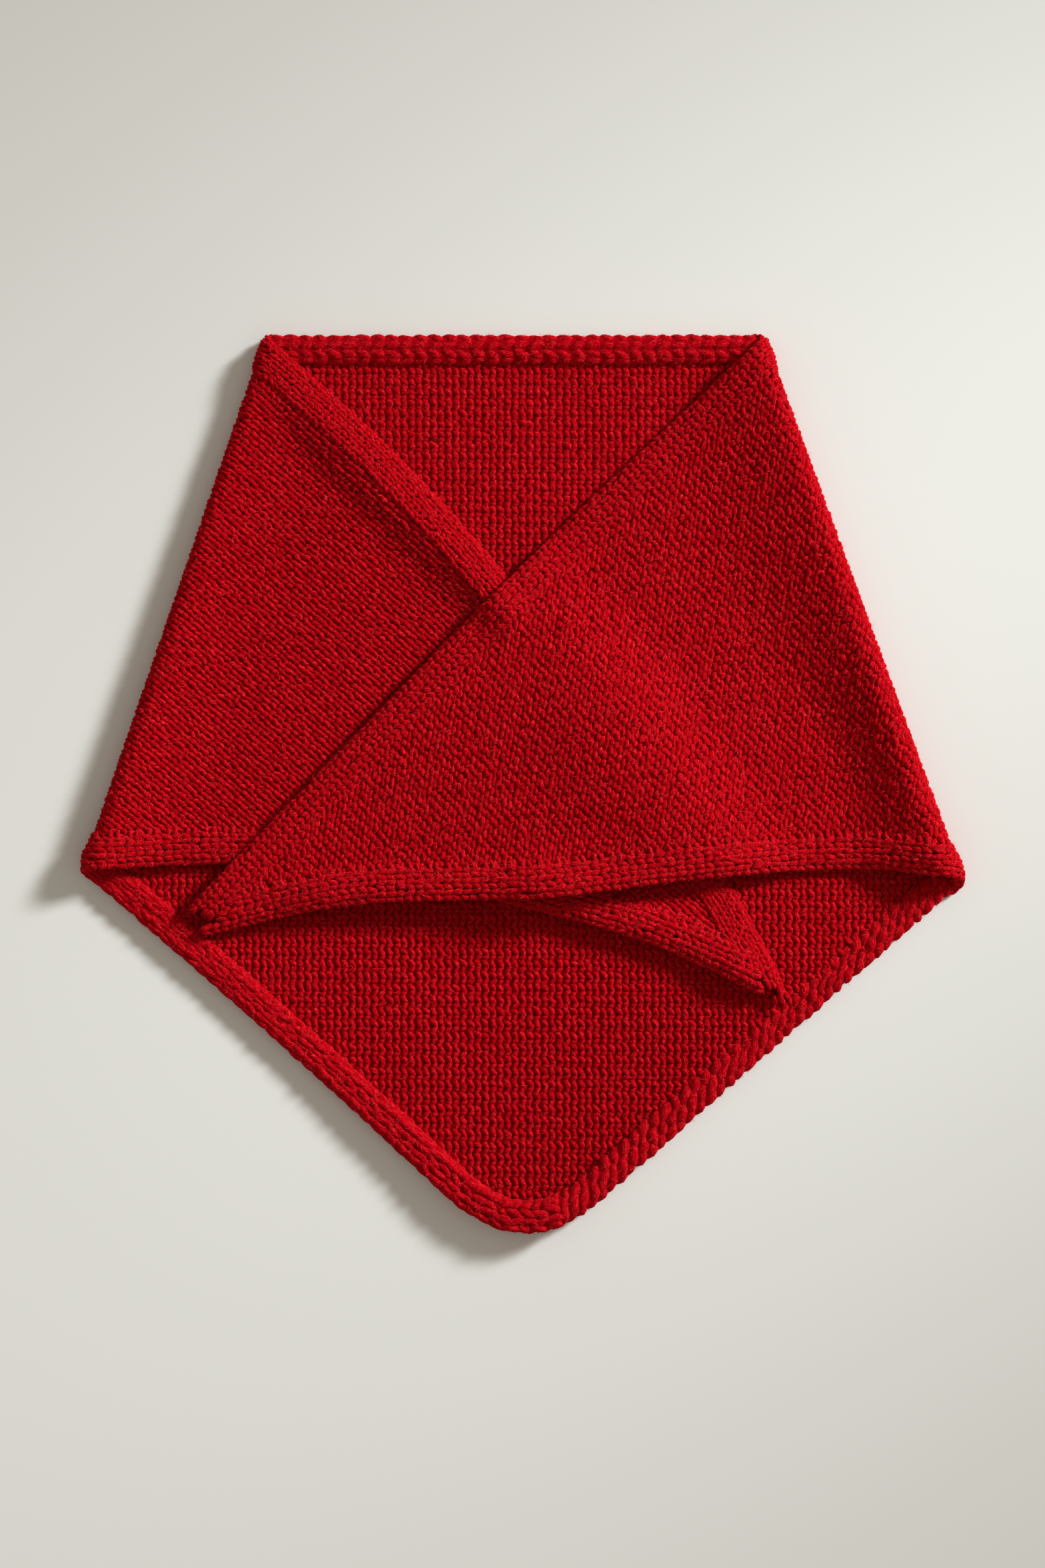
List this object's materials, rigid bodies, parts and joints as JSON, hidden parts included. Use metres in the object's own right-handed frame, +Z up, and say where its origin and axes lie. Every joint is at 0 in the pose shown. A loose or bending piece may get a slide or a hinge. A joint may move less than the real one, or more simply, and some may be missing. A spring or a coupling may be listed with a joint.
{
  "type": "wool bandana",
  "caption": "Knitted wool bandana, a shallow triangle with a knitted cord edge, laid flat with both wings folded over the front.",
  "frame": {"origin": "on the surface it lies on, under the middle of the folded outline", "axes": "+Z up from the surface, +Y towards the neck edge, +X to the right seen from above"},
  "size_m": [0.3262, 0.3323, 0.0181],
  "materials": {
    "wool_knit": "matt stockinette-knitted wool, slightly fuzzy",
    "wool_cord_edge": "matt knitted wool cord edging"
  },
  "bodies": {
    "root": {"back_panel": "wool_knit", "back_neck_edge": "wool_cord_edge", "back_left_edge": "wool_cord_edge", "back_right_edge": "wool_cord_edge", "left_wing": "wool_knit", "left_wing_neck_edge": "wool_cord_edge", "left_wing_hem_edge": "wool_cord_edge", "right_wing": "wool_knit", "right_wing_neck_edge": "wool_cord_edge", "right_wing_hem_edge": "wool_cord_edge"}
  },
  "joints": []
}
